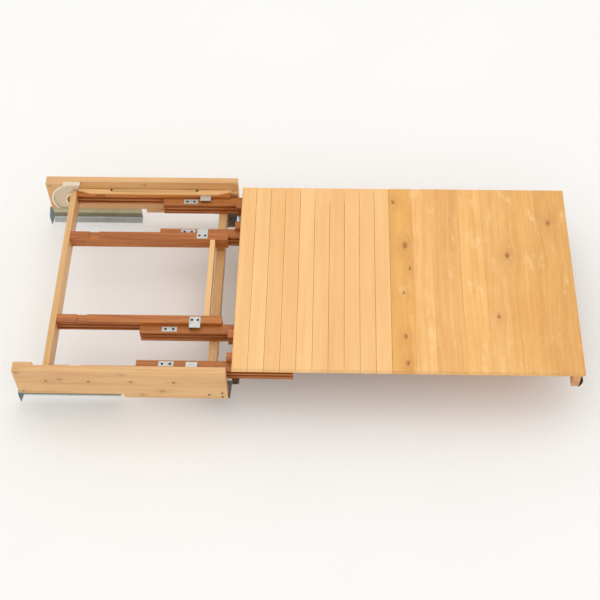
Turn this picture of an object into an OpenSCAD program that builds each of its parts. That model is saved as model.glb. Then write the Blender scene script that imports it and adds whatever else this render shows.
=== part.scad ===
// Pull-out table for a base cabinet. A table top of a solid leaf and a slatted (tambour) half
// rides on wooden telescopic slides in a frame that screws between the cabinet's side walls.
// +X is the pull-out direction, +Y runs across the cabinet, +Z is up, millimetres.
// The origin is the middle of the near side panel's row of four fixing holes, on its outer face.

/* [Frame] */
// Outer width of the frame, across the cabinet
frame_w = 566; // [480:1:700]
// Length of the side panels
panel_len = 476; // [440:1:580]
// Height of the side panels at the front
panel_h = 109; // [104:1:120]
// Thickness of the side panels
panel_t = 24; // [22:0.5:30]
// Thickness of the wall that is left above the rebate
wall_t = 16.5; // [15:0.5:17]
// Length of the full-thickness block at the rear of each panel
rear_block = 43; // [40:1:50]
// Height of the step along the bottom of the rear half
notch_h = 14; // [8:1:16]
// Length of the step along the bottom
notch_len = 240; // [232:1:260]

/* [Fixing holes] */
// Distance between the fixing holes
hole_pitch = 96; // [64:32:96]
// Radius of the fixing holes
hole_r = 3; // [2.5:0.1:3.5]
// Distance from the panel's top edge down to the row of holes
hole_drop = 42; // [38:1:50]
// Distance from the panel's rear end to the middle of the row
hole_row_x = 214; // [206:1:220]

/* [Table top] */
// Distance from the frame's outer faces in to the table top's edges
top_gap = 20.5; // [19:0.5:22]
// Thickness of the leaf and the slats
top_t = 14; // [12:0.1:17]
// Distance from the panels' top edges down to the table's surface
top_drop = 11; // [8:1:14]
// Number of slats
slats = 10; // [6:1:12]
// Distance from slat to slat
slat_pitch = 36; // [30:1:40]
// Gap between two slats
slat_gap = 0.5; // [0.3:0.1:1]
// Length of the solid leaf
leaf_len = 428; // [400:1:520]
// Distance from the panels' front end to the first slat when the table is out
reveal = 12; // [4:1:30]
// Thickness of the canvas under the slats
canvas_t = 0.7; // [0.4:0.1:1]
// Distance from the slats' ends to the canvas
canvas_inset = 30; // [20:1:60]
// Width of the front rail under the leaf
front_rail_t = 17; // [14:1:22]
// Height of the front rail
front_rail_h = 41; // [30:1:50]
// Distance from the leaf's front edge back to the front rail
front_rail_inset = 8; // [6:1:20]

/* [Slides] */
// Height of the thick lip of a slide bar
lip_a = 10; // [9:0.2:12]
// Height of the thin lip of a slide bar
lip_b = 4.4; // [4:0.2:5]
// Height of the tongue between the two grooves
tongue_h = 5.8; // [5:0.2:7]
// Up and down play of a tongue in its groove
slide_play = 0.6; // [0.4:0.1:1]
// How far a tongue reaches into its groove
mesh_d = 5.2; // [4:0.2:5.4]
// Clearance between a tongue and the bottom of its groove
groove_clear = 0.4; // [0.3:0.1:0.6]
// Width of the outer fixed bars
outer_bar_w = 12; // [11.5:0.5:16]
// Width of the inner fixed bars
bar_w = 21; // [19:0.5:24]
// Width of the first moving bars
first_bar_w = 25.8; // [22:0.2:28]
// Length of a moving bar
bar_len = 356; // [340:1:430]
// Length of the second overlap, between the first and second moving bars
overlap = 173; // [150:1:190]
// How far the first moving bar stays in the fixed bar when the table is out
first_overlap = 167; // [150:1:180]
// How much further back the near side's first moving bars stand
near_lag = 22; // [0:1:30]
// Distance from the table's underside down to the upper bars' tops
slide_gap = 1.2; // [1:0.1:4]
// Distance from the panels' front end back to the fixed bars' front end
bar_setback = 18; // [10:1:30]

/* [Cross bars] */
// Thickness of the rear cross bar
rear_bar_t = 14; // [12:1:18]
// Height of the rear cross bar
rear_bar_h = 47; // [40:1:52]
// Distance from the panels' rear end to the rear cross bar's front face
rear_bar_x = 74.5; // [70:0.5:80]
// Width of the front cross bar
front_bar_w = 20; // [16:1:26]
// Distance from the fixed bars' front end back to the front cross bar
front_bar_back = 10; // [4:1:20]
// Width of the centre tie batten
tie_w = 12; // [10:1:20]
// Height of the centre tie batten
tie_h = 30; // [20:1:32]

/* [Curve guide] */
// Radius of the outer rim
guide_r = 60; // [57:0.5:62]
// Radius of the inner rim
turn_r = 26; // [23:0.5:28]
// Width of the rims
rim_w = 4; // [3:0.5:5]
// Thickness of the web
web_t = 3; // [2:0.5:3.5]
// Distance from the rear end to the middle of the rims
guide_x = 66; // [63:1:68]
// Distance from the table's surface down to the middle of the rims
guide_drop = 52; // [48:1:54]

/* [Steel parts] */
// Thickness of the steel sheet
steel_t = 1.5; // [1:0.1:2]
// Length of the lower channels
channel_len = 226; // [200:1:230]
// Height of the lower channels
channel_h = 43; // [36:1:50]
// Width of the lower channels' bottom flange
flange_w = 18; // [14:1:22]
// Width of the slat rails
rail_w = 15.5; // [12:0.5:15.5]
// Thickness of the slat rails
rail_t = 4.6; // [4:0.2:6]
// How far the slat rails lie under the slats
rail_clear = 0.3; // [0.2:0.1:0.5]
// Length of the stop plates
stop_len = 35; // [30:1:40]
// Width of the stop plates
stop_w = 14; // [12:1:15]
// Length of the hold-down plates
hold_len = 26; // [20:1:30]
// Radius of the screws' shanks
screw_r = 1.6; // [1.4:0.1:2]
// Length of the screws
screw_len = 12; // [10:1:14]

/* [Hidden] */
$fn = 64;
eps = 0.05;
// From the leaf's rear edge to the runners under it
runner_inset = 4;

// Heights: z = 0 is the row of fixing holes
z_top = hole_drop;
z_bottom = z_top - panel_h;
z_table = z_top - top_drop;
z_under = z_table - top_t;
bar_h = lip_a + 2 * (tongue_h + slide_play) + tongue_h + lip_b;
groove_h = tongue_h + slide_play;
groove_d = mesh_d + groove_clear;
z_high = z_under - slide_gap;
z_seat = z_under - rail_clear - rail_t;
z_low = z_high - (lip_a - lip_b + (groove_h + tongue_h) / 2);

// Places along the pull-out direction
x_rear = -hole_row_x;
x_front = x_rear + panel_len;
x_table = x_front + reveal;
x_leaf = x_table + slats * slat_pitch;
x_end = x_leaf + leaf_len;
x_front_rail = x_end - front_rail_inset - front_rail_t;
x_bar = x_rear + rear_bar_x;
x_bar_end = x_front - bar_setback;
x_first = x_bar_end - first_overlap;
x_second = x_first + bar_len - overlap;
x_third = x_second + bar_len - overlap;
x_runner = x_leaf + runner_inset;
x_front_bar = x_bar_end - front_bar_back - front_bar_w;
x_guide = x_rear + guide_x;
z_guide = z_table - guide_drop;
z_step = z_bottom + notch_h;
low_clear = 0.5;
z_packer = z_low - bar_h - low_clear;

// Places across the cabinet, counted from the near side
step = bar_w - mesh_d;
y_outer = panel_t;
y_first_out = y_outer + outer_bar_w - mesh_d;
y_second_out = y_first_out + first_bar_w - mesh_d;
y_third_out = y_second_out + step;
y_runner = y_third_out + step;
y_third_in = y_runner + step;
y_second_in = y_third_in + step;
y_first_in = y_second_in + step;
y_inner = y_first_in + first_bar_w - mesh_d;
top_w = frame_w - 2 * top_gap;
slat_end_clear = 0.7;
channel_in = 2;
y_channel = top_gap - slat_end_clear;

// Plates and screws
head_r = 2 * screw_r;
head_h = screw_r;
drill_clear = 0.05;
rail_taper = 34;
rail_x = x_rear + 78;
rail_front_in = 16;
rail_end_w = 6;
rail_screw_in = 4;
rail_len = x_front - rail_front_in - rail_x;
rail_screws = [rail_x + 82, rail_x + 296];
channel_screws = [12, channel_len - 14];
stop_screw_half = 9;
hold_screw_half = 7;
hold_gap = 6;
hold_back = 75;
lug_clear = 0.5;
front_bar_up = 2;
notch_d = 3;
notch_x = 47;
notch_run = 24;
guide_tab = 24;
guide_end = 8;
guide_mouth = 19;
guide_clear = 0.2;
pilot_r = 2.5;
pilot_d = 12;
pilots = [[9, panel_h - 8], [11, notch_h + 8]];
first_lap = 12;
lip_clear = 1;
hold_screw_len = lip_a - lug_clear;
plate_pocket = steel_t + 0.1;
pocket_play = 0.3;
bracket_len = 62;
bracket_top = min(38, z_packer - z_bottom);
bracket_tongue = 44;
lug_reach = 13;
lug_drop = 73;
lug_tip = 40;
bracket_reach = 10;
bracket_slope = 34;
bracket_toe = 12;
foot_in = 30;
foot_len = 26;
canvas_back = 4;
canvas_lap = 3;
edge_r = 4;
rail_round = 5;
pull_gap = 1;
pull_h = 45;
pull_bow = 7;
bracket_holes = [[-41, 16], [-11, 24], [-11, 8]];
catch_len = 16;
catch_w = 12;
catch_h = 13;

sides = ["near", "far"];
rows = ["outer", "inner"];

// Puts its children on the near or the far side, as a mirror image
module on_side(side) {
    if (side == "near") children();
    else translate([0, frame_w, 0]) mirror([0, 1, 0]) children();
}

// A countersunk screw that points down, with its head's face at z = 0
module screw(length = screw_len, fit = 0) {
    translate([0, 0, -head_h]) cylinder(r1 = screw_r + fit, r2 = head_r + fit, h = head_h);
    translate([0, 0, -length]) cylinder(r = screw_r + fit, h = length - head_h + eps);
}

module screw_hole(length = screw_len) {
    translate([0, 0, drill_clear / 2]) screw(length + drill_clear, drill_clear);
    cylinder(r = head_r + drill_clear, h = 1);
}

// A slide bar along X: two grooves in each meshing side, upside down when it is a low one
module bar(x, length, y, width, high, grooved = [true, true], extra = 0) {
    base = high ? lip_b : lip_a;
    top = high ? z_high : z_low;
    translate([x, y, top - bar_h]) rotate([90, 0, 90]) linear_extrude(length)
        difference() {
            square([width, bar_h + extra]);
            for (side = [0, 1], k = [0, 1]) if (grooved[side])
                translate([side * (width - groove_d + 1) - 1, base + k * (groove_h + tongue_h)])
                    square([groove_d + 1, groove_h]);
        }
}

// The near side's own y of each row of bars, its width, and the bar's stage
function row_y(stage, row) =
    row == "outer" ? [y_outer, y_first_out, y_second_out, y_third_out][stage]
                   : [y_inner, y_first_in, y_second_in, y_third_in][stage];
function row_w(stage, row) =
    stage == 0 ? (row == "outer" ? outer_bar_w : bar_w) : stage == 1 ? first_bar_w : bar_w;
function bar_x(stage) = [x_bar, x_first, x_second, x_third][stage];
function is_high(stage) = stage % 2 == 0;
function bar_front(stage) = stage == 0 ? x_bar_end : bar_x(stage) + bar_len;

// Stands a stage's bars, plates and screws on the near or the far side, where they lie
module on_stage(stage, side) {
    translate([stage == 1 && side == "near" ? -near_lag : 0, 0, 0]) on_side(side) children();
}

// The face that a stage's hold-down plate is let into: the top of a high bar, the bottom of a low
// one; an outer fixed bar is lower, as the slat rail lies on it
function plate_z(stage, row) =
    stage == 0 && row == "outer" ? z_seat : is_high(stage) ? z_high : z_low - bar_h;
// A stage's stop plates sit on the face that the stage before laps over
function stop_z(stage) = is_high(stage) ? z_high - bar_h : z_low;
function hold_x(stage) = bar_front(stage) - hold_back;
function stop_x(stage) = hold_x(stage - 1) - hold_gap - stop_len - (stage == 2 ? near_lag : 0);
// Direction across in which the next bar lies, seen from the near side
function next_way(row) = row == "outer" ? 1 : -1;

// The middle of a stop plate, and of a hold-down plate's part that is screwed down
function stop_mid(stage, row) = row_y(stage, row) + row_w(stage, row) / 2 + next_way(row) * mesh_d / 2;
function hold_edge(stage, row) = row_y(stage, row) + (row == "outer" ? row_w(stage, row) : 0);
function hold_seat(stage, row) = stage > 0 ? 14 : row == "outer" ? outer_bar_w - 1 : bar_w - 3;
// How far a hold-down plate laps over the next bar, short of what runs beside that bar
function hold_lap(stage) =
    stage == 0 ? first_lap : stage < 3 ? step - mesh_d - lip_clear : (bar_w - 2 * mesh_d - lip_clear) / 2;

// A hold-down plate's screws pass beside the groove
function hold_screw_in(stage, row) = max(hold_seat(stage, row) / 2, groove_d + 1.5 * screw_r);

// Screw places of a stage's plates, as [x, y, z, up]
function stop_screws(stage, row) =
    [for (d = [-1, 1]) [stop_x(stage) + stop_len / 2 + d * stop_screw_half, stop_mid(stage, row),
                        stop_z(stage), is_high(stage) ? -1 : 1]];
function hold_screws(stage, row) =
    [for (d = [-1, 1]) [hold_x(stage) + hold_len / 2 + d * hold_screw_half,
                        hold_edge(stage, row) - next_way(row) * hold_screw_in(stage, row),
                        plate_z(stage, row), is_high(stage) ? 1 : -1]];

module at_screws(places, lift) {
    for (p = places) translate([p[0], p[1], p[2] + p[3] * lift])
        mirror([0, 0, p[3] < 0 ? 1 : 0]) children();
}

// A flat stop plate with two countersunk holes, on the face at z and standing out in direction up
module stop_plate(stage, row) {
    up = is_high(stage) ? -1 : 1;
    difference() {
        translate([stop_x(stage), stop_mid(stage, row) - stop_w / 2, stop_z(stage) + min(0, up * steel_t)])
            cube([stop_len, stop_w, steel_t]);
        at_screws(stop_screws(stage, row), steel_t) screw_hole();
    }
}

// A hold-down plate: let into its own bar, lapping over the next bar, with its end bent towards it
module hold_plate(stage, row) {
    up = is_high(stage) ? 1 : -1;
    way = next_way(row);
    edge = hold_edge(stage, row);
    seat = hold_seat(stage, row);
    lap = hold_lap(stage);
    z = plate_z(stage, row);
    lug_h = (up > 0 ? z - z_low : z_high - bar_h - z) - lug_clear;
    difference() {
        union() {
            translate([hold_x(stage), min(edge - way * seat, edge + way * lap), z - (up > 0 ? steel_t : 0)])
                cube([hold_len, seat + lap, steel_t]);
            translate([hold_x(stage), min(edge + way * lip_clear, edge + way * lap),
                       z - (up > 0 ? lug_h : 0)])
                cube([steel_t, lap - lip_clear, lug_h]);
        }
        at_screws(hold_screws(stage, row), 0) screw_hole(hold_screw_len);
    }
}

// What is cut out of a bar for its hold-down plate and its screws
module hold_cut(stage, row) {
    up = is_high(stage) ? 1 : -1;
    edge = hold_edge(stage, row);
    way = next_way(row);
    seat = hold_seat(stage, row);
    translate([hold_x(stage) - pocket_play, min(edge - way * (seat + pocket_play), edge + way),
               plate_z(stage, row) - (up > 0 ? plate_pocket : 1)])
        cube([hold_len + 2 * pocket_play, seat + pocket_play + 1, plate_pocket + 1]);
    at_screws(hold_screws(stage, row), 0) screw_hole(hold_screw_len);
}

module stop_cut(stage, row) {
    at_screws(stop_screws(stage, row), steel_t) screw_hole();
}

module side_panel(side) {
    color([0.85, 0.66, 0.44]) on_side(side) difference() {
        translate([x_rear, 0, z_bottom]) cube([panel_len, panel_t, panel_h]);
        // rebate above the slat rail
        translate([x_rear + rear_block, wall_t, z_seat]) cube([panel_len, panel_t, panel_h]);
        // step along the bottom, over the lower channel
        translate([x_rear - 1, -1, z_step - panel_h]) cube([notch_len + 1, panel_t + 2, panel_h]);
        guide_body(side, guide_clear);
        // row of fixing holes
        for (k = [-1.5:1:1.5]) translate([k * hole_pitch, -1, 0]) rotate([-90, 0, 0])
            cylinder(r = hole_r, h = panel_t + 2);
        for (p = pilots) translate([x_rear + p[0], -1, z_bottom + p[1]]) rotate([-90, 0, 0])
            cylinder(r = pilot_r, h = pilot_d + 1);
        bracket_screws() screw_hole(panel_t + 2 * steel_t);
        rail_screw_places() screw_hole();
        channel_screw_places() screw_hole();
    }
}

module guide_disc(r, y, depth) {
    translate([x_guide, y, z_guide]) rotate([-90, 0, 0]) cylinder(r = r, h = depth);
}

// The curve guide before its track is cut: a disc and a tab up to the panel's top edge, or on the
// near side to the table's surface, as far as the panel has room; larger by extra for its pocket
module guide_body(side, extra = 0) {
    depth = panel_t - wall_t + 5 * extra;
    tab_top = side == "near" ? z_table : z_top;
    guide_foot = z_step + guide_clear - 2 * extra;
    intersection() {
        union() {
            guide_disc(guide_r + extra, wall_t, depth);
            translate([x_guide - guide_tab - extra, wall_t, z_guide])
                cube([2 * guide_tab + extra, depth, tab_top - z_guide + extra]);
        }
        translate([0, wall_t - 1, 0]) rotate([90, 0, 0]) mirror([0, 0, 1]) linear_extrude(depth + 1)
            polygon([[x_rear, guide_foot], [x_guide + guide_end + extra, guide_foot],
                     [x_guide + guide_end + extra, z_guide + turn_r - rim_w / 2],
                     [x_guide + guide_mouth + extra, tab_top + extra], [x_rear, tab_top + extra]]);
    }
}

module curve_guide(side) {
    depth = panel_t - wall_t;
    color([0.88, 0.83, 0.74]) on_side(side) difference() {
        guide_body(side);
        // the track that the slats' ends run in, with its straight way in
        difference() {
            union() {
                guide_disc(guide_r - rim_w, wall_t + web_t, depth);
                translate([x_guide, wall_t + web_t, z_guide]) cube([2 * guide_tab, depth, guide_r - rim_w]);
            }
            guide_disc(turn_r, wall_t, depth);
        }
        // the open middle of the inner rim
        guide_disc(turn_r - rim_w, wall_t - 1, depth + 2);
    }
}

module slat_rail(side) {
    color([0.93, 0.76, 0.53]) on_side(side) difference() {
        translate([rail_x, wall_t, z_seat]) linear_extrude(rail_t)
            polygon([[0, 0], [0, rail_end_w], [rail_taper, rail_w], [rail_len - rail_taper, rail_w],
                     [rail_len, rail_end_w], [rail_len, 0]]);
        rail_screw_places() screw_hole();
    }
}

module rail_screw_places() {
    for (x = rail_screws) translate([x, wall_t + rail_screw_in, z_under - rail_clear]) children();
}

module channel_screw_places() {
    for (x = channel_screws) translate([x_rear + x, y_channel / 2, z_step - steel_t])
        mirror([0, 0, 1]) children();
}

module bracket_screws() {
    for (p = bracket_holes) translate([x_front + p[0], 0, z_bottom + p[1]]) rotate([90, 0, 0]) children();
}

// Z-shaped steel channel: screwed up under the panel, web down beside the slats' ends, flange inwards
module lower_channel(side) {
    color([0.6, 0.64, 0.66]) on_side(side) difference() {
        union() {
            translate([x_rear, channel_in, z_step - steel_t])
                cube([channel_len, y_channel - channel_in, steel_t]);
            translate([x_rear, y_channel - steel_t, z_step - channel_h]) {
                cube([channel_len, steel_t, channel_h]);
                cube([channel_len, flange_w, steel_t]);
            }
        }
        channel_screw_places() screw_hole();
    }
}

// Pointed steel lug at the channel's rear end, in line with its web
module rear_lug(side) {
    color([0.5, 0.53, 0.55]) on_side(side)
        translate([x_rear, y_channel, z_step]) rotate([90, 0, 0]) linear_extrude(steel_t)
            polygon([[0, -steel_t], [-6, -steel_t], [-14, -channel_h + 2], [-lug_reach, -lug_drop],
                     [-1, -channel_h], [0, -channel_h + 4]]);
}

// Steel bracket at the front end: a leaf on the panel's inner face that runs down to a point,
// a foot under the panel and a tongue inwards
module front_bracket(side) {
    color([0.6, 0.64, 0.66]) on_side(side) difference() {
        union() {
            translate([x_front, panel_t + steel_t, z_bottom]) rotate([90, 0, 0]) linear_extrude(steel_t)
                polygon([[-bracket_len, -steel_t], [-bracket_len, bracket_toe],
                         [-bracket_slope, bracket_top], [bracket_reach, bracket_top],
                         [bracket_reach, bracket_top - catch_h],
                         [1, -lug_tip], [-2, -lug_tip], [-6, -steel_t]]);
            translate([x_front - bracket_len, 1, z_bottom - steel_t])
                cube([bracket_len, panel_t - 1 + eps, steel_t]);
            translate([x_front - bracket_len + foot_in, panel_t, z_bottom - steel_t])
                cube([foot_len, bracket_tongue, steel_t]);
        }
        bracket_screws() screw_hole(panel_t + 2 * steel_t);
    }
}

// Open catch on the front bracket's leaf, near side only
module catch_box() {
    x = x_front + bracket_reach;
    z = z_bottom + bracket_top - catch_h;
    color([0.4, 0.4, 0.42]) difference() {
        translate([x - eps, panel_t, z]) cube([catch_len, catch_w, catch_h]);
        translate([x + steel_t, panel_t - 1, z + steel_t])
            cube([catch_len - 3 * steel_t, catch_w + 2, catch_h - 2 * steel_t]);
    }
}

module rear_cross_bar() {
    color([0.9, 0.72, 0.5])
        translate([x_bar - rear_bar_t, panel_t, z_high - rear_bar_h])
            cube([rear_bar_t, frame_w - 2 * panel_t, rear_bar_h]);
}

module front_cross_bar() {
    color([0.76, 0.55, 0.34])
        translate([x_front_bar, panel_t + steel_t, z_bottom + front_bar_up])
            cube([front_bar_w, frame_w - 2 * (panel_t + steel_t), z_packer - z_bottom - front_bar_up]);
}

module centre_tie_batten() {
    y = y_inner + bar_w;
    color([0.95, 0.78, 0.55])
        translate([x_front_bar - tie_w, y, z_high - tie_h]) cube([tie_w, frame_w - 2 * y, tie_h]);
}

// Blocks that carry the fixed bars on the front cross bar, clear of the low moving bars
module slide_packers() {
    color([0.76, 0.55, 0.34]) for (side = sides) on_side(side) {
        for (span = [[y_outer + steel_t, y_first_out - lug_clear],
                     [y_first_in + first_bar_w + lug_clear, y_inner + bar_w]])
            translate([x_front_bar, span[0], z_packer])
                cube([front_bar_w, span[1] - span[0], z_high - bar_h - z_packer]);
    }
}

module fixed_slide(side, row) {
    color([0.72, 0.46, 0.28]) on_side(side) difference() {
        bar(x_bar, x_bar_end - x_bar, row_y(0, row), row_w(0, row), true,
            row == "outer" ? [false, true] : [true, false]);
        if (row == "outer")
            translate([x_bar - 1, y_outer - 1, z_seat]) cube([x_bar_end - x_bar + 2, outer_bar_w + 2, bar_h]);
        // shallow notch near the rear end
        translate([x_bar + notch_x, row_y(0, row) - 1, plate_z(0, row) - notch_d])
            cube([notch_run, row_w(0, row) + 2, bar_h]);
        hold_cut(0, row);
    }
}

module moving_slide(stage, side, row) {
    color([0.76, 0.48, 0.29]) on_stage(stage, side) difference() {
        bar(bar_x(stage), bar_len, row_y(stage, row), row_w(stage, row), is_high(stage));
        hold_cut(stage, row);
        stop_cut(stage, row);
    }
}

module hold_down_plates_0() {
    color([0.72, 0.74, 0.75]) for (side = sides, row = rows) on_side(side) hold_plate(0, row);
}

module slide_plates(stage) {
    color([0.72, 0.74, 0.75]) for (side = sides, row = rows) on_stage(stage, side) {
        stop_plate(stage, row);
        hold_plate(stage, row);
    }
}

module slide_screws(stage) {
    color([0.5, 0.5, 0.5]) for (side = sides, row = rows) on_stage(stage, side) {
        at_screws(stop_screws(stage, row), steel_t) screw();
        at_screws(hold_screws(stage, row), 0) screw(hold_screw_len);
    }
}

module frame_screws() {
    color([0.5, 0.5, 0.5]) for (side = sides) on_side(side) {
        rail_screw_places() screw();
        channel_screw_places() screw();
        bracket_screws() screw(panel_t + steel_t);
        for (row = rows) at_screws(hold_screws(0, row), 0) screw(hold_screw_len);
    }
}

// Runner under the leaf, the last bar of each side's telescope
module leaf_runner(side) {
    color([0.76, 0.48, 0.29]) on_side(side) difference() {
        bar(x_runner, x_front_rail - x_runner, y_runner, bar_w, true, [true, true], z_under - z_high);
        at_screws(runner_screws, steel_t) screw_hole();
    }
}

runner_screws = [for (d = [-1, 1]) [stop_x(4) + stop_len / 2 + d * stop_screw_half,
                                    y_runner + bar_w / 2, z_high - bar_h, -1]];

module runner_plates() {
    color([0.72, 0.74, 0.75]) for (side = sides) on_side(side) difference() {
        translate([stop_x(4), y_runner + (bar_w - stop_w) / 2, z_high - bar_h - steel_t])
            cube([stop_len, stop_w, steel_t]);
        at_screws(runner_screws, steel_t) screw_hole();
    }
}

module table_screws() {
    color([0.5, 0.5, 0.5]) for (side = sides) on_side(side)
        at_screws(runner_screws, steel_t) screw();
}

// Outline of a board across the table: rounded upper corners where asked
module board(x, length, round_rear, round_front) {
    translate([x, top_gap + top_w, z_under]) rotate([90, 0, 0]) linear_extrude(top_w) difference() {
        square([length, top_t]);
        if (round_rear) translate([0, top_t - edge_r]) difference() {
            translate([-1, 0]) square([edge_r + 1, edge_r + 1]);
            translate([edge_r, 0]) circle(edge_r);
        }
        if (round_front) translate([length - edge_r, top_t - edge_r]) difference() {
            square([edge_r + 1, edge_r + 1]);
            circle(edge_r);
        }
    }
}

module leaf() {
    color([0.94, 0.76, 0.5]) board(x_leaf, leaf_len, false, true);
}

module slat(n) {
    color([0.96, 0.82, 0.6])
        board(x_table + (n - 1) * slat_pitch, slat_pitch - slat_gap, n == 1, false);
}

module canvas() {
    color([0.8, 0.76, 0.66])
        translate([x_table + canvas_back, top_gap + canvas_inset, z_under - canvas_t])
            cube([x_leaf + canvas_lap - x_table - canvas_back, top_w - 2 * canvas_inset, canvas_t]);
}

module front_rail() {
    color([0.84, 0.62, 0.4]) translate([x_front_rail, top_gap + top_w, z_under - front_rail_h])
        rotate([90, 0, 0]) linear_extrude(top_w) union() {
            translate([0, rail_round]) square([front_rail_t, front_rail_h - rail_round]);
            square([front_rail_t - rail_round, rail_round]);
            translate([front_rail_t - rail_round, rail_round]) circle(rail_round);
        }
}

// Bowed steel finger-pull strip along the whole front
module pull_strip() {
    r = (pow(pull_h / 2, 2) + pow(pull_bow, 2)) / (2 * pull_bow);
    color([0.3, 0.28, 0.27])
        translate([x_front_rail + front_rail_t, top_gap + top_w, z_under - pull_gap - pull_h / 2])
            rotate([90, 0, 0]) linear_extrude(top_w) intersection() {
                translate([pull_bow - r, 0]) difference() {
                    circle(r, $fn = 180);
                    circle(r - steel_t, $fn = 180);
                }
                translate([0, -pull_h]) square([2 * pull_bow, 2 * pull_h]);
            }
}

rear_cross_bar();
front_cross_bar();
centre_tie_batten();
slide_packers();
catch_box();
hold_down_plates_0();
frame_screws();
runner_plates();
table_screws();
leaf();
canvas();
front_rail();
pull_strip();
for (s = sides) {
    side_panel(s);
    curve_guide(s);
    slat_rail(s);
    lower_channel(s);
    rear_lug(s);
    front_bracket(s);
    leaf_runner(s);
    for (r = rows) {
        fixed_slide(s, r);
        for (k = [1:3])
            moving_slide(k, s, r);
    }
}
for (k = [1:3]) {
    slide_plates(k);
    slide_screws(k);
}
for (n = [1:slats]) slat(n);
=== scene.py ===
import math

import bmesh
import bpy
from mathutils import Matrix, Quaternion, Vector


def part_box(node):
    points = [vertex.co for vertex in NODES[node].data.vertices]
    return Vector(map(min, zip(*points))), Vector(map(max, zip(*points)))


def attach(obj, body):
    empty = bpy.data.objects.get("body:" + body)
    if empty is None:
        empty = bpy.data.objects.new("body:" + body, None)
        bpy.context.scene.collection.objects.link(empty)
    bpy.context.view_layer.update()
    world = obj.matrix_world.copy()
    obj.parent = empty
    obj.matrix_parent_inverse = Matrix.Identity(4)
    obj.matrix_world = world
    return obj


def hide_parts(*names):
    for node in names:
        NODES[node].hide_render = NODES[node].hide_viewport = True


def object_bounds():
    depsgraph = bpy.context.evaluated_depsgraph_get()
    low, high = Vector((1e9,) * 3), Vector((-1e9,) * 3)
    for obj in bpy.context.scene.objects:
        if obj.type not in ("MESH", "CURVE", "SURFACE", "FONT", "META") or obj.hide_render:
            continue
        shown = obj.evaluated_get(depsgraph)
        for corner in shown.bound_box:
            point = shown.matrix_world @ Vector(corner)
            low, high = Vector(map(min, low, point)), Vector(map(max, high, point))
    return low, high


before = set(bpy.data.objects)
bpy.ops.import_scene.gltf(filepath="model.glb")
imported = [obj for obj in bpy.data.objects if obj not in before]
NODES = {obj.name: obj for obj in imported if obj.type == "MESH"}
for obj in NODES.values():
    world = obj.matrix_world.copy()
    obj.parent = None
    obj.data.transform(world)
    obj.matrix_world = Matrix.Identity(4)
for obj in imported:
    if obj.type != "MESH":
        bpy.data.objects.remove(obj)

# Pull-out cabinet table: +X is the pull-out direction, +Y across the cabinet, +Z up, metres.
MM = 0.001
CAD_LOW, CAD_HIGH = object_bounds()
SIDES = ("near", "far")
ROWS = ("outer", "inner")

SLAT_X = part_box("slat_1")[0].x
SLAT_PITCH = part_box("slat_2")[0].x - SLAT_X
SLATS = sum(name.startswith("slat_") and name[5:].isdigit() for name in NODES)
LEAF_LOW, LEAF_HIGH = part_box("leaf")

FRAME_MIDDLE = (CAD_LOW.y + CAD_HIGH.y) / 2
# How far from the frame's middle the near curve guide's inner face lies
TRACK_TOP = FRAME_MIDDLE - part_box("curve_guide_near")[1].y

# Widths of the leaf's glued staves, from its rear edge to its front edge
STAVES = (54, 46, 66, 56, 54, 76, 76)
# Knots of the leaf, in millimetres: place along X, place along Y, width
KNOTS = (
    (670, 371, 12), (1016, 444, 10), (911, 344, 11), (669, 41, 8), (644, 504, 8),
    (680, 303, 6), (665, 112, 8), (664, 233, 6), (879, 169, 7),
)

# Half a glue line's width, as a share of the leaf's length
GLUE_LINE = 0.0009
# How far a timber seed moves the figure along each direction
SEED_STEPS = (1.37, 0.53, 0.31)
# How deep the pith of a board's rings lies, and how far it may lie to one side, in metres
PITH_DEPTH = 0.055
PITH_SPREAD = 0.16
# How much longer than wide a knot is
KNOT_STRETCH = 1.7
# Width of two threads of the canvas
THREAD_PITCH = 1.6 * MM
BUMP_STRENGTH = 0.8

# Widths of the softened edges
SHEET_EDGE = 0.2 * MM
PLATE_EDGE = 0.25 * MM
NYLON_EDGE = 0.4 * MM
BAR_EDGE = 0.5 * MM
PANEL_EDGE = 0.6 * MM
BOARD_EDGE = 0.8 * MM

# A screw's head: reach, narrowing and depth of its recess, as shares of the head's radius
RECESS_REACH = 0.62
RECESS_NARROWING = 0.55
RECESS_DEPTH = 0.42
# Turns of the first screw and from one screw to the next, in radians
FIRST_TURN = 0.4
NEXT_TURN = 0.9

CLOTH_THICKNESS = 0.5 * MM
CLOTH_SAG = 0.12 * MM
FLOOR_GAP = 0.5 * MM

# Camera: yaw, pitch and roll in degrees, place in metres, focal length and sensor width in millimetres
CAMERA_TURN = (-2.296, 55.13, -1.196)
CAMERA_PLACE = (0.4883, -1.4097, 2.3595)
FOCAL_LENGTH = 73.562
SENSOR_WIDTH = 36.0
# As a share of the sensor's width
LENS_SHIFT = -1 / 600


# ---- Shader node helpers ----

def put(tree, kind, inputs=None, **settings):
    """A node with these settings; an input is given a value or another node's output."""
    node = tree.nodes.new(kind)
    for key, value in settings.items():
        setattr(node, key, value)
    for key, value in (inputs or {}).items():
        if isinstance(value, bpy.types.NodeSocket):
            tree.links.new(value, node.inputs[key])
        else:
            node.inputs[key].default_value = value
    return node


def calc(tree, operation, *values, clamp=False):
    node = put(tree, "ShaderNodeMath", dict(enumerate(values)), operation=operation, use_clamp=clamp)
    return node.outputs[0]


def vector(tree, operation, *values):
    node = put(tree, "ShaderNodeVectorMath", dict(enumerate(values)), operation=operation)
    return node.outputs["Value" if operation in ("LENGTH", "DISTANCE") else "Vector"]


def spread(tree, value, low, high, to_low=0.0, to_high=1.0):
    inputs = {"Value": value, "From Min": low, "From Max": high, "To Min": to_low, "To Max": to_high}
    return put(tree, "ShaderNodeMapRange", inputs, clamp=True).outputs[0]


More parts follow.
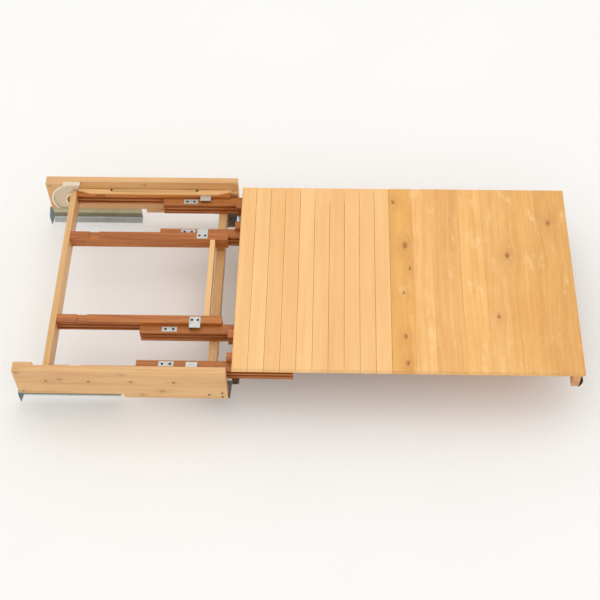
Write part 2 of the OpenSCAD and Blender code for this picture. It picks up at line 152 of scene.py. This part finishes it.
def noise(tree, place, scale, detail=3.0, roughness=0.5):
    """Noise stretched by scale, a number of waves a metre for each direction."""
    stretched = vector(tree, "MULTIPLY", place, scale)
    inputs = {"Vector": stretched, "Scale": 1.0, "Detail": detail, "Roughness": roughness}
    return put(tree, "ShaderNodeTexNoise", inputs).outputs[0]


def split(tree, place):
    """The X, Y and Z of a place."""
    return put(tree, "ShaderNodeSeparateXYZ", {0: place}).outputs


def join(tree, x, y, z):
    return put(tree, "ShaderNodeCombineXYZ", {0: x, 1: y, 2: z}).outputs[0]


def mix(tree, amount, a, b, blend="MIX"):
    inputs = {0: amount, 6: a, 7: b}
    node = put(tree, "ShaderNodeMix", inputs, data_type="RGBA", blend_type=blend, clamp_factor=True)
    return node.outputs[2]


def ramp(tree, value, stops, interpolation="LINEAR"):
    node = put(tree, "ShaderNodeValToRGB", {0: value})
    node.color_ramp.interpolation = interpolation
    while len(node.color_ramp.elements) < len(stops):
        node.color_ramp.elements.new(1.0)
    for element, (place, colour) in zip(node.color_ramp.elements, stops):
        element.position = place
        element.color = colour
    return node.outputs[0]


def srgb(red, green, blue):
    """A colour given as 0 to 255, as the shader wants it."""
    parts = [value / 255 for value in (red, green, blue)]
    return (*[p / 12.92 if p <= 0.04045 else ((p + 0.055) / 1.055) ** 2.4 for p in parts], 1.0)


def grey(value):
    return (value, value, value, 1.0)


def new_group(name, inputs, outputs):
    tree = bpy.data.node_groups.new(name, "ShaderNodeTree")
    for label, kind in inputs.items():
        tree.interface.new_socket(label, in_out="INPUT", socket_type="NodeSocket" + kind)
    for label, kind in outputs.items():
        tree.interface.new_socket(label, in_out="OUTPUT", socket_type="NodeSocket" + kind)
    return tree, put(tree, "NodeGroupInput").outputs, put(tree, "NodeGroupOutput").inputs


def placed(tree, group, inputs):
    """The outputs of a group's node that has these inputs."""
    return put(tree, "ShaderNodeGroup", inputs, node_tree=group).outputs


# ---- Shader node groups ----

def timber_group():
    """Wood with its grain along X: rings round a pith, streaks, fibres and pores."""
    tree, given, result = new_group(
        "timber",
        {"Grain": "Vector", "Seed": "Float", "Warp": "Float", "Ring Pitch": "Float", "Rings": "Float",
         "Streaks": "Float", "Pores": "Float", "Pale": "Color", "Dark": "Color"},
        {"Color": "Color", "Roughness": "Float", "Height": "Float"})
    seed = given["Seed"]
    chance = put(tree, "ShaderNodeTexWhiteNoise", {"W": seed}, noise_dimensions="1D").outputs[0]
    shift = join(tree, *[calc(tree, "MULTIPLY", seed, step) for step in SEED_STEPS])
    place = vector(tree, "ADD", given["Grain"], shift)

    # growth rings, which wander along the grain and pass round the knots
    wander = calc(tree, "MULTIPLY", calc(tree, "SUBTRACT", noise(tree, place, (2.2, 9, 9)), 0.5), 0.05)
    parts = split(tree, given["Grain"])
    pith = calc(tree, "MULTIPLY", calc(tree, "SUBTRACT", chance, 0.5), PITH_SPREAD)
    across = calc(tree, "ADD", calc(tree, "ADD", parts[1], pith), calc(tree, "ADD", wander, given["Warp"]))
    depth = calc(tree, "ADD", parts[2], PITH_DEPTH)
    radius = calc(tree, "SQRT", calc(tree, "ADD", calc(tree, "MULTIPLY", across, across),
                                     calc(tree, "MULTIPLY", depth, depth)))
    ring = calc(tree, "FRACT", calc(tree, "DIVIDE", radius, given["Ring Pitch"]))
    ring = calc(tree, "POWER", calc(tree, "PINGPONG", ring, 0.5), 2.0)

    bent = join(tree, 0.0, calc(tree, "ADD", wander, given["Warp"]), 0.0)
    flow = vector(tree, "ADD", place, bent)
    clouds = spread(tree, noise(tree, flow, (4, 24, 24), 3), 0.3, 0.7)
    streaks = spread(tree, noise(tree, flow, (2.5, 85, 85), 4), 0.3, 0.72)
    fibres = spread(tree, noise(tree, flow, (14, 650, 650), 3), 0.3, 0.7)
    pores = spread(tree, noise(tree, flow, (55, 1300, 1300), 2), 0.6, 0.72)

    tone = calc(tree, "MULTIPLY", streaks, given["Streaks"])
    tone = calc(tree, "ADD", tone, calc(tree, "MULTIPLY", calc(tree, "MULTIPLY", ring, 4.0), given["Rings"]))
    tone = calc(tree, "ADD", tone, calc(tree, "MULTIPLY", clouds, 0.28))
    tone = calc(tree, "ADD", tone, calc(tree, "MULTIPLY", fibres, 0.16), clamp=True)
    colour = mix(tree, tone, given["Pale"], given["Dark"])
    pore_tone = calc(tree, "MULTIPLY", pores, given["Pores"], clamp=True)
    colour = mix(tree, pore_tone, colour, mix(tree, 0.75, given["Dark"], srgb(70, 40, 20)))
    tree.links.new(colour, result["Color"])
    tree.links.new(calc(tree, "ADD", calc(tree, "MULTIPLY", tone, 0.16), 0.36), result["Roughness"])
    height = calc(tree, "SUBTRACT", calc(tree, "MULTIPLY", fibres, 0.5), pore_tone)
    tree.links.new(calc(tree, "SUBTRACT", height, calc(tree, "MULTIPLY", ring, 0.6)), result["Height"])
    return tree


def knot_group():
    """A knot in flat-sawn wood: how dark it is, and how far the rings give way round it."""
    tree, given, result = new_group(
        "knot", {"Grain": "Vector", "Centre": "Vector", "Width": "Float", "Mask": "Float", "Warp": "Float"},
        {"Mask": "Float", "Warp": "Float"})
    apart = vector(tree, "SUBTRACT", given["Grain"], given["Centre"])
    away = split(tree, apart)
    along = calc(tree, "DIVIDE", away[0], calc(tree, "MULTIPLY", given["Width"], KNOT_STRETCH))
    side = calc(tree, "DIVIDE", away[1], given["Width"])
    flat = join(tree, along, side, 0.0)
    ragged = calc(tree, "SUBTRACT", noise(tree, given["Grain"], (260, 420, 420), 3), 0.5)
    far = calc(tree, "ADD", vector(tree, "LENGTH", flat), calc(tree, "MULTIPLY", ragged, 1.7))
    core = spread(tree, far, 0.7, 0.1)
    give = calc(tree, "EXPONENT", calc(tree, "MULTIPLY", calc(tree, "MULTIPLY", far, far), -0.22))
    reach = calc(tree, "MULTIPLY", given["Width"], -0.9)
    push = calc(tree, "MULTIPLY", calc(tree, "MULTIPLY", give, side), reach)
    shade = calc(tree, "ADD", core, calc(tree, "MULTIPLY", give, 0.22))
    tree.links.new(calc(tree, "ADD", given["Mask"], shade), result["Mask"])
    tree.links.new(calc(tree, "ADD", given["Warp"], push), result["Warp"])
    return tree


def spangle_group():
    """The crystals of a zinc coat, and the fine scratches and dull spots of handled sheet steel."""
    tree, given, result = new_group(
        "spangle", {"Place": "Vector", "Crystal Size": "Float", "Pale": "Color", "Dark": "Color"},
        {"Color": "Color", "Roughness": "Float", "Height": "Float"})
    per_metre = calc(tree, "DIVIDE", 1.0, given["Crystal Size"])
    sized = put(tree, "ShaderNodeVectorMath", {0: given["Place"], 3: per_metre}, operation="SCALE").outputs[0]
    cell = put(tree, "ShaderNodeTexVoronoi", {"Vector": sized, "Scale": 1.0}).outputs["Color"]
    crystal = put(tree, "ShaderNodeSeparateColor", {0: cell}).outputs[0]
    dull = spread(tree, noise(tree, given["Place"], (22, 22, 22), 5, 0.6), 0.35, 0.7)
    scratch = spread(tree, noise(tree, given["Place"], (20, 900, 900), 2), 0.55, 0.75)
    shine = calc(tree, "MULTIPLY", crystal, 0.35)
    tone = calc(tree, "ADD", shine, calc(tree, "MULTIPLY", dull, 0.6), clamp=True)
    tree.links.new(mix(tree, tone, given["Pale"], given["Dark"]), result["Color"])
    rough = calc(tree, "ADD", calc(tree, "MULTIPLY", crystal, 0.12), calc(tree, "MULTIPLY", dull, 0.22))
    tree.links.new(calc(tree, "ADD", calc(tree, "ADD", rough, 0.24), calc(tree, "MULTIPLY", scratch, 0.1)),
                   result["Roughness"])
    tree.links.new(calc(tree, "SUBTRACT", calc(tree, "MULTIPLY", crystal, 0.3), scratch), result["Height"])
    return tree


TIMBER = timber_group()
KNOT = knot_group()
SPANGLE = spangle_group()


# ---- Materials ----

def new_material(name, **constants):
    """A material with its Principled shader's constants set, its tree and its object coordinates."""
    material = bpy.data.materials.new(name)
    material.use_nodes = True
    tree = material.node_tree
    shader = tree.nodes["Principled BSDF"]
    for label, value in constants.items():
        shader.inputs[label.replace("_", " ").title().replace("Ior", "IOR")].default_value = value
    return material, tree, shader, put(tree, "ShaderNodeTexCoord").outputs["Object"]


def finish_surface(tree, shader, colour, roughness, height, bump_depth):
    tree.links.new(colour, shader.inputs["Base Color"])
    if roughness is not None:
        tree.links.new(roughness, shader.inputs["Roughness"])
    bump = put(tree, "ShaderNodeBump", {"Height": height, "Distance": bump_depth, "Strength": BUMP_STRENGTH})
    tree.links.new(bump.outputs[0], shader.inputs["Normal"])


def along_x(tree, place):
    return place


def on_edge(tree, place):
    """Coordinates for a board on edge, whose grain runs along X and whose wide face is in X and Z."""
    x, y, z = split(tree, place)
    return join(tree, x, z, y)


def along_y(tree, place):
    """Coordinates for wood whose grain runs along Y."""
    x, y, z = split(tree, place)
    return join(tree, y, x, z)


def add_knots(tree, grain, knots):
    """The darkness of all the knots, and how far they push the rings aside."""
    mask, warp = 0.0, 0.0
    for centre, width in knots:
        knot = placed(tree, KNOT, {
            "Grain": grain, "Centre": centre, "Width": width * MM, "Mask": mask, "Warp": warp})
        mask, warp = knot["Mask"], knot["Warp"]
    return mask, warp


def plain_timber(name, pale, dark, grain=along_x, seed=1.0, rings=0.3, pitch=5 * MM, streaks=0.4, pores=0.2,
                 knots=()):
    material, tree, shader, place = new_material(name, coat_weight=0.08, coat_roughness=0.4)
    place = grain(tree, place)
    mask, warp = add_knots(tree, place, knots)
    wood = placed(tree, TIMBER, {
        "Grain": place, "Seed": seed, "Warp": warp, "Ring Pitch": pitch, "Rings": rings,
        "Streaks": streaks, "Pores": pores, "Pale": srgb(*pale), "Dark": srgb(*dark)})
    colour = wood["Color"]
    if knots:
        # the knots' colour; for the side panels it also paints shade round the fixing and pilot holes
        colour = mix(tree, calc(tree, "MULTIPLY", mask, 0.6, clamp=True), colour, srgb(132, 72, 26))
    finish_surface(tree, shader, colour, wood["Roughness"], wood["Height"], 0.08 * MM)
    return material


def slat_wood():
    """Even, pale wood; every slat has its own cut and its own tone."""
    material, tree, shader, place = new_material("slat_wood", coat_weight=0.25, coat_roughness=0.3)
    along = split(tree, place)[0]
    index = calc(tree, "FLOOR", calc(tree, "DIVIDE", calc(tree, "SUBTRACT", along, SLAT_X), SLAT_PITCH))
    chance = put(tree, "ShaderNodeTexWhiteNoise", {"W": index}, noise_dimensions="1D").outputs[0]
    wood = placed(tree, TIMBER, {
        "Grain": along_y(tree, place), "Seed": calc(tree, "MULTIPLY", index, 1.7), "Warp": 0.0,
        "Ring Pitch": 9 * MM, "Rings": 0.1, "Streaks": 0.3, "Pores": 0.1,
        "Pale": srgb(253, 206, 140), "Dark": srgb(235, 176, 105)})
    tone = calc(tree, "MULTIPLY", chance, 0.6)
    colour = mix(tree, tone, wood["Color"], mix(tree, 1.0, wood["Color"], srgb(244, 232, 214), "MULTIPLY"))
    finish_surface(tree, shader, colour, wood["Roughness"], wood["Height"], 0.06 * MM)
    return material


def leaf_wood():
    """Staves glued edge to edge, each with its own figure and tone, and a few small knots."""
    material, tree, shader, place = new_material("leaf_wood", coat_weight=0.25, coat_roughness=0.3)
    along = split(tree, place)[0]
    share = calc(tree, "DIVIDE", calc(tree, "SUBTRACT", along, LEAF_LOW.x), LEAF_HIGH.x - LEAF_LOW.x)
    edges = [sum(STAVES[:count]) / sum(STAVES) for count in range(len(STAVES))]
    seeds = [0.1 + 0.83 * ((3 * count) % len(STAVES)) / len(STAVES) for count in range(len(STAVES))]
    tints = [srgb(245, 230, 186), srgb(255, 247, 234), srgb(248, 236, 215), srgb(255, 247, 226),
             srgb(249, 240, 218), srgb(246, 235, 206), srgb(239, 226, 192)]
    seed = ramp(tree, share, [(edge, grey(value)) for edge, value in zip(edges, seeds)], "CONSTANT")
    tint = ramp(tree, share, list(zip(edges, tints)), "CONSTANT")

    grain = along_y(tree, place)
    mask, warp = add_knots(tree, grain, [((y * MM, x * MM, 0.0), width) for x, y, width in KNOTS])
    wood = placed(tree, TIMBER, {
        "Grain": grain, "Seed": calc(tree, "MULTIPLY", seed, 23.0), "Warp": warp, "Ring Pitch": 11 * MM,
        "Rings": 0.12, "Streaks": 0.34, "Pores": 0.12,
        "Pale": srgb(255, 209, 140), "Dark": srgb(222, 160, 84)})
    colour = mix(tree, 1.0, wood["Color"], tint, "MULTIPLY")
    # soft mottle across the grain, and paler flashes where the grain dips
    mottle = spread(tree, noise(tree, grain, (26, 46, 46), 3, 0.6), 0.35, 0.7)
    darker = mix(tree, 1.0, colour, srgb(238, 220, 180), "MULTIPLY")
    colour = mix(tree, calc(tree, "MULTIPLY", mottle, 0.3), colour, darker)
    flash = spread(tree, noise(tree, grain, (14, 34, 34), 4, 0.6), 0.58, 0.74)
    colour = mix(tree, calc(tree, "MULTIPLY", flash, 0.4), colour, srgb(255, 226, 172))
    colour = mix(tree, calc(tree, "MULTIPLY", mask, 0.75, clamp=True), colour, srgb(146, 76, 14))
    for edge in edges[1:]:
        line = calc(tree, "COMPARE", share, edge, GLUE_LINE)
        colour = mix(tree, calc(tree, "MULTIPLY", line, 0.35), colour, srgb(150, 96, 46))
    finish_surface(tree, shader, colour, wood["Roughness"], wood["Height"], 0.06 * MM)
    return material


def sheet_steel(name, pale, dark, crystal, roughness_shift=0.0):
    material, tree, shader, place = new_material(name, metallic=0.85)
    coat = placed(tree, SPANGLE, {
        "Place": place, "Crystal Size": crystal, "Pale": srgb(*pale), "Dark": srgb(*dark)})
    rough = calc(tree, "ADD", coat["Roughness"], roughness_shift)
    finish_surface(tree, shader, coat["Color"], rough, coat["Height"], 0.03 * MM)
    return material


def channel_steel():
    """Galvanised channel with painted light: a bright bluish-white flange for the reflected sky, a dark olive
    web for the reflected wood in shade and, higher up, paler olive for the reflected wood.
    """
    material, tree, shader, place = new_material("channel_steel", metallic=0.35)
    low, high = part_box("lower_channel_near")
    height = split(tree, place)[2]
    waver = calc(tree, "MULTIPLY", calc(tree, "SUBTRACT", noise(tree, place, (12, 60, 60)), 0.5), 3 * MM)
    share = spread(tree, calc(tree, "ADD", height, waver), low.z, high.z)
    # painted reflections and shade up the channel's height: reflected sky low on the flange, reflected wood
    # in shade on the web
    painted_reflection_tone = ramp(tree, share, [
        (0.0, srgb(228, 238, 246)), (0.1, srgb(224, 232, 238)), (0.14, srgb(142, 138, 112)),
        (0.46, srgb(158, 152, 122)), (0.56, srgb(214, 206, 170)), (1.0, srgb(186, 176, 140))])
    coat = placed(tree, SPANGLE, {
        "Place": place, "Crystal Size": 7 * MM, "Pale": srgb(250, 250, 248), "Dark": srgb(222, 222, 216)})
    colour = mix(tree, 1.0, coat["Color"], painted_reflection_tone, "MULTIPLY")
    finish_surface(tree, shader, colour, coat["Roughness"], coat["Height"], 0.03 * MM)
    return material


def moulded_nylon():
    """Matt off-white plastic, a little cloudy, with the faint flow marks of its mould."""
    material, tree, shader, place = new_material(
        "moulded_nylon", subsurface_weight=0.15, subsurface_scale=0.004, specular_ior_level=0.4)
    clouds = spread(tree, noise(tree, place, (28, 28, 28), 3), 0.3, 0.7)
    flow = spread(tree, noise(tree, place, (60, 400, 90), 3), 0.35, 0.7)
    marks = calc(tree, "MULTIPLY", flow, 0.3)
    tone = calc(tree, "ADD", calc(tree, "MULTIPLY", clouds, 0.6), marks, clamp=True)
    colour = mix(tree, tone, srgb(252, 246, 234), srgb(238, 226, 204))
    # the bottom of the track, deeper than its rims, is made darker
    across = split(tree, place)[1]
    off_middle = calc(tree, "ABSOLUTE", calc(tree, "SUBTRACT", across, FRAME_MIDDLE))
    track_floor_darkening = spread(tree, off_middle, TRACK_TOP, TRACK_TOP + 1.5 * MM, 0.0, 0.7)
    colour = mix(tree, track_floor_darkening, colour, srgb(208, 190, 156))
    rough = calc(tree, "ADD", calc(tree, "MULTIPLY", flow, 0.14), 0.48)
    finish_surface(tree, shader, colour, rough, flow, 0.05 * MM)
    return material


def woven_canvas():
    """Plain weave of undyed cotton: one thread over and one under."""
    material, tree, shader, place = new_material("woven_canvas", roughness=0.9)
    turn = 2 * math.pi / THREAD_PITCH
    warp, weft = (calc(tree, "SINE", calc(tree, "MULTIPLY", part, turn)) for part in split(tree, place)[:2])
    weave = spread(tree, calc(tree, "MULTIPLY", warp, weft), -1.0, 1.0)
    slub = calc(tree, "MULTIPLY", spread(tree, noise(tree, place, (30, 600, 600), 2), 0.35, 0.7), 0.4)
    tone = calc(tree, "ADD", calc(tree, "MULTIPLY", weave, 0.6), slub, clamp=True)
    colour = mix(tree, tone, srgb(196, 183, 156), srgb(231, 221, 199))
    finish_surface(tree, shader, colour, None, tone, 0.25 * MM)
    return material


def slide_wood(name, seed, shade=1.0):
    """Reddish hardwood of the sliding bars, with dark pores, rubbed smooth."""
    pale = [value * shade for value in (216, 136, 58)]
    dark = [value * shade for value in (150, 76, 24)]
    return plain_timber(name, pale, dark, seed=seed, rings=0.25, pitch=4 * MM, streaks=0.6, pores=0.8)


# Knots and rub marks of the side panels, and painted shade round their fixing and pilot holes
PANEL_KNOTS_AND_HOLE_SHADE = (
    ((-0.112, 0.008, 0.0), 7), ((0.115, -0.038, 0.0), 8), ((0.068, -0.055, 0.0), 6), ((0.03, 0.03, 0.0), 4),
    ((-0.144, 0.0, 0.0), 5), ((-0.048, 0.0, 0.0), 5), ((0.048, 0.0, 0.0), 5), ((0.144, 0.0, 0.0), 5),
    ((-0.205, 0.034, 0.0), 5), ((-0.203, -0.045, 0.0), 4),
)
PANEL_WOOD = plain_timber(
    "panel_wood", (236, 191, 134), (202, 146, 88), on_edge, seed=3.1, rings=0.14, pitch=8 * MM, streaks=0.4,
    knots=PANEL_KNOTS_AND_HOLE_SHADE)
RAIL_WOOD = plain_timber("rail_wood", (248, 208, 150), (226, 170, 104), seed=5.3, rings=0.2, streaks=0.3)
BAR_WOOD = plain_timber("cross_bar_wood", (236, 194, 136), (204, 148, 84), along_y, seed=7.7, rings=0.35)
TIE_WOOD = plain_timber("tie_batten_wood", (246, 204, 146), (224, 166, 98), along_y, seed=9.2)
RAIL_FRONT_WOOD = plain_timber(
    "front_rail_wood", (226, 172, 112), (188, 124, 66), along_y, seed=2.4, pores=0.3)
PACKER_WOOD = plain_timber("packer_wood", (212, 150, 94), (170, 104, 56), seed=4.4, pores=0.4)
SLAT_WOOD = slat_wood()
LEAF_WOOD = leaf_wood()
NYLON = moulded_nylon()
CANVAS = woven_canvas()
CHANNEL_STEEL = channel_steel()
GALVANISED = sheet_steel("galvanised_steel", (196, 202, 204), (150, 158, 160), 7 * MM)
ZINC_PLATE = sheet_steel("zinc_plate", (214, 214, 208), (172, 174, 172), 1.5 * MM, 0.08)
LUG_STEEL = sheet_steel("lug_steel", (140, 150, 158), (92, 100, 108), 4 * MM, 0.08)
DARK_STEEL = sheet_steel("dark_steel", (104, 92, 82), (54, 46, 42), 3 * MM, 0.12)
BRACKET_STEEL = sheet_steel("bracket_steel", (122, 118, 108), (78, 74, 66), 5 * MM, 0.05)
CATCH_STEEL = sheet_steel("catch_steel", (158, 140, 122), (90, 78, 68), 2 * MM, 0.1)
SCREW_STEEL = sheet_steel("screw_steel", (108, 104, 98), (60, 57, 53), 1 * MM)


def show(name, data):
    """An object of the scene with this data."""
    thing = bpy.data.objects.new(name, data)
    bpy.context.scene.collection.objects.link(thing)
    return thing


def show_mesh(name, mesh, material):
    """An object made from a finished bmesh, which is freed."""
    data = bpy.data.meshes.new(name)
    mesh.to_mesh(data)
    mesh.free()
    data.materials.append(material)
    return show(name, data)


def wear(node, material, edge=BAR_EDGE, segments=2):
    """Gives a CAD node its material and takes the sharpness off its edges."""
    piece = NODES[node]
    piece.data.materials.clear()
    piece.data.materials.append(material)
    weld = piece.modifiers.new("weld", "WELD")
    weld.merge_threshold = 0.01 * MM
    bevel = piece.modifiers.new("edges", "BEVEL")
    bevel.width = edge
    bevel.segments = segments
    bevel.limit_method = "ANGLE"
    bevel.angle_limit = math.radians(35)
    bevel.harden_normals = False
    return piece


def dress_frame():
    for side in SIDES:
        wear(f"side_panel_{side}", PANEL_WOOD, PANEL_EDGE)
        wear(f"slat_rail_{side}", RAIL_WOOD, BOARD_EDGE, 3)
        wear(f"curve_guide_{side}", NYLON, NYLON_EDGE)
        wear(f"lower_channel_{side}", CHANNEL_STEEL, SHEET_EDGE)
        wear(f"rear_lug_{side}", LUG_STEEL, SHEET_EDGE)
    wear("front_bracket_near", BRACKET_STEEL, SHEET_EDGE)
    wear("front_bracket_far", GALVANISED, SHEET_EDGE)
    wear("rear_cross_bar", BAR_WOOD, BOARD_EDGE)
    wear("front_cross_bar", BAR_WOOD, BOARD_EDGE)
    wear("centre_tie_batten", TIE_WOOD, BOARD_EDGE)
    wear("slide_packers", PACKER_WOOD)
    wear("catch_box", CATCH_STEEL, SHEET_EDGE)
    wear("hold_down_plates_0", ZINC_PLATE, PLATE_EDGE)


def dress_slides():
    fixed = slide_wood("fixed_slide_wood", 11.3)
    stages = [
        slide_wood(f"slide_wood_{stage}", 12.7 + 2.9 * stage, 1.0 - 0.03 * (stage % 2))
        for stage in (1, 2, 3)]
    for side in SIDES:
        for row in ROWS:
            wear(f"fixed_slide_{side}_{row}", fixed)
            for stage, wood in enumerate(stages, 1):
                wear(f"slide_{stage}_{side}_{row}", wood)
    for stage in (1, 2, 3):
        wear(f"slide_plates_{stage}", ZINC_PLATE, PLATE_EDGE)


def dress_table():
    runner = slide_wood("runner_wood", 27.1)
    for side in SIDES:
        wear(f"leaf_runner_{side}", runner)
    wear("runner_plates", ZINC_PLATE, PLATE_EDGE)
    wear("leaf", LEAF_WOOD, BOARD_EDGE, 3)
    for count in range(1, SLATS + 1):
        wear(f"slat_{count}", SLAT_WOOD)
    wear("front_rail", RAIL_FRONT_WOOD, BOARD_EDGE)
    wear("pull_strip", DARK_STEEL, SHEET_EDGE)


# ---- Countersunk cross-recess screws ----

def screw_places(node):
    """The middle of each screw's head face, the way its head faces, its length and its head's radius."""
    mesh = bmesh.new()
    mesh.from_mesh(NODES[node].data)
    bmesh.ops.remove_doubles(mesh, verts=mesh.verts, dist=0.01 * MM)
    left = set(mesh.verts)
    places = []
    while left:
        island = [left.pop()]
        for vert in island:
            for edge in vert.link_edges:
                other = edge.other_vert(vert)
                if other in left:
                    left.remove(other)
                    island.append(other)
        low = Vector([min(v.co[axis] for v in island) for axis in range(3)])
        high = Vector([max(v.co[axis] for v in island) for axis in range(3)])
        size = high - low
        axis = max(range(3), key=lambda a: size[a])
        middle = (low + high) / 2
        ends = {}
        for vert in island:
            off = vert.co - middle
            off[axis] = 0.0
            end = vert.co[axis] > middle[axis]
            ends[end] = max(ends.get(end, 0.0), off.length)
        up = Vector([0.0, 0.0, 0.0])
        up[axis] = 1.0 if ends[True] > ends[False] else -1.0
        face = middle + up * size[axis] / 2
        places.append((face, up, size[axis], max(ends.values())))
    mesh.free()
    return places


def add_screw(mesh, length, radius):
    """One screw, pointing down from z = 0: a flat head with a cross recess, a cone and a shank."""
    arm = radius * RECESS_REACH
    top = bmesh.ops.create_grid(mesh, x_segments=3, y_segments=3, size=arm)["verts"]
    faces = list({face for vert in top for face in vert.link_faces})
    for vert in top:
        for axis in (0, 1):
            if abs(vert.co[axis]) < arm * 0.9:
                vert.co[axis] *= RECESS_NARROWING
    cross = [f for f in faces if min(abs(c) for c in f.calc_center_median().xy) < arm * 0.1]
    rim = [edge for face in faces for edge in face.edges if len(edge.link_faces) == 1]
    disc = bmesh.ops.create_circle(mesh, segments=24, radius=radius * 0.97)["verts"]
    ring = list({edge for vert in disc for edge in vert.link_edges})
    bmesh.ops.bridge_loops(mesh, edges=rim + ring)
    sunk = bmesh.ops.extrude_face_region(mesh, geom=cross)["geom"]
    bmesh.ops.delete(mesh, geom=cross, context="FACES_ONLY")
    floor = [v for v in sunk if isinstance(v, bmesh.types.BMVert)]
    bmesh.ops.scale(mesh, vec=(0.6, 0.6, 1.0), verts=floor)
    bmesh.ops.translate(mesh, vec=(0, 0, -radius * RECESS_DEPTH), verts=floor)
    outline = ring
    made = list(top) + list(disc) + floor
    rings = ((1.03, 0.06 * radius), (0.5, 0.47 * radius), (1.0, length - 1.1 * radius), (0.45, 0.4 * radius))
    for scale, drop in rings:
        grown = bmesh.ops.extrude_edge_only(mesh, edges=outline)["geom"]
        verts = [v for v in grown if isinstance(v, bmesh.types.BMVert)]
        outline = [e for e in grown if isinstance(e, bmesh.types.BMEdge) and all(v in verts for v in e.verts)]
        bmesh.ops.scale(mesh, vec=(scale, scale, 1.0), verts=verts)
        bmesh.ops.translate(mesh, vec=(0, 0, -drop), verts=verts)
        made += verts
    bmesh.ops.contextual_create(mesh, geom=outline)
    return made


def make_screws(node, body):
    """Every screw of a CAD screw node, each turned a different way in its hole."""
    mesh = bmesh.new()
    for count, (face, up, length, radius) in enumerate(screw_places(node)):
        single = bmesh.new()
        add_screw(single, length, radius)
        bmesh.ops.recalc_face_normals(single, faces=single.faces)
        turn = Quaternion((0, 0, 1), NEXT_TURN * count + FIRST_TURN)
        place = Matrix.Translation(face) @ (up.to_track_quat("Z", "Y") @ turn).to_matrix().to_4x4()
        bmesh.ops.transform(single, matrix=place, verts=single.verts)
        data = bpy.data.meshes.new("screw")
        single.to_mesh(data)
        single.free()
        mesh.from_mesh(data)
        bpy.data.meshes.remove(data)
    piece = show_mesh(node + "_cross_recess", mesh, SCREW_STEEL)
    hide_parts(node)
    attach(piece, body)


# ---- Canvas ----

def make_canvas():
    """The canvas that the slats are glued to, stretched flat under them and lapping under the leaf's edge."""
    low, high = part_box("canvas")
    width, length = high.y - low.y, high.x - low.x
    mesh = bmesh.new()
    bmesh.ops.create_grid(mesh, x_segments=60, y_segments=80, size=0.5)
    place = Matrix.Translation(((low.x + high.x) / 2, (low.y + high.y) / 2, high.z))
    scale = Matrix.Diagonal((length, width, 1.0, 1.0))
    bmesh.ops.transform(mesh, matrix=place @ scale, verts=mesh.verts)
    # it lies free over the gaps between the slats, and there it sinks a little
    for vert in mesh.verts:
        share = (vert.co.x - SLAT_X) / SLAT_PITCH
        vert.co.z -= CLOTH_SAG * math.cos(2 * math.pi * share) ** 8
    piece = show_mesh("canvas_cloth", mesh, CANVAS)
    thick = piece.modifiers.new("thickness", "SOLIDIFY")
    thick.thickness = CLOTH_THICKNESS
    thick.offset = -1.0
    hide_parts("canvas")
    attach(piece, "table")


# ---- Floor, light and camera ----

def make_floor():
    """A plain pale floor just under the frame's lowest points."""
    mesh = bmesh.new()
    bmesh.ops.create_grid(mesh, x_segments=1, y_segments=1, size=6.0)
    bmesh.ops.translate(mesh, vec=(0.4, 0.3, CAD_LOW.z - FLOOR_GAP), verts=mesh.verts)
    material, tree, shader, place = new_material("pale_floor", roughness=0.8)
    tone = spread(tree, noise(tree, place, (3, 3, 3), 3), 0.3, 0.7)
    paint = mix(tree, tone, (0.94, 0.935, 0.92, 1.0), (0.925, 0.92, 0.905, 1.0))
    tree.links.new(paint, shader.inputs["Base Color"])
    floor = show_mesh("floor", mesh, material)


def add_softbox(name, location, aim, size, energy, tint=(1.0, 1.0, 1.0)):
    light = bpy.data.lights.new(name, "AREA")
    light.shape = "RECTANGLE"
    light.size, light.size_y = size
    light.energy = energy
    light.color = tint
    lamp = show(name, light)
    lamp.location = location
    lamp.rotation_mode = "QUATERNION"
    lamp.rotation_quaternion = (Vector(aim) - Vector(location)).to_track_quat("-Z", "Y")


def set_light():
    world = bpy.data.worlds.new("studio")
    world.use_nodes = True
    backdrop = world.node_tree.nodes["Background"].inputs
    backdrop["Color"].default_value = (1.0, 0.99, 0.975, 1.0)
    backdrop["Strength"].default_value = 0.965
    bpy.context.scene.world = world
    add_softbox("overhead", (0.5, 0.7, 2.6), (0.45, 0.3, 0.0), (2.2, 1.6), 8)
    add_softbox("front_fill", (0.3, -2.6, 1.7), (0.45, 0.2, 0.0), (3.0, 1.6), 2.5)
    bpy.context.scene.view_settings.view_transform = "Standard"


def set_camera():
    yaw, pitch, roll = (math.radians(angle) for angle in CAMERA_TURN)
    level = math.cos(pitch)
    forward = Vector((math.sin(yaw) * level, math.cos(yaw) * level, -math.sin(pitch)))
    lens = bpy.data.cameras.new("camera")
    lens.sensor_width = SENSOR_WIDTH
    lens.lens = FOCAL_LENGTH
    lens.shift_y = LENS_SHIFT
    lens.clip_end = 50.0
    camera = show("camera", lens)
    camera.location = CAMERA_PLACE
    camera.rotation_mode = "QUATERNION"
    camera.rotation_quaternion = forward.to_track_quat("-Z", "Y") @ Quaternion((0, 0, 1), roll)
    bpy.context.scene.camera = camera


dress_frame()
dress_slides()
dress_table()
SCREWED_BODIES = {
    "frame_screws": "frame", "slide_screws_1": "first_slides", "slide_screws_2": "second_slides",
    "slide_screws_3": "third_slides", "table_screws": "table"}
for node, body in SCREWED_BODIES.items():
    make_screws(node, body)
make_canvas()
make_floor()
set_light()
set_camera()
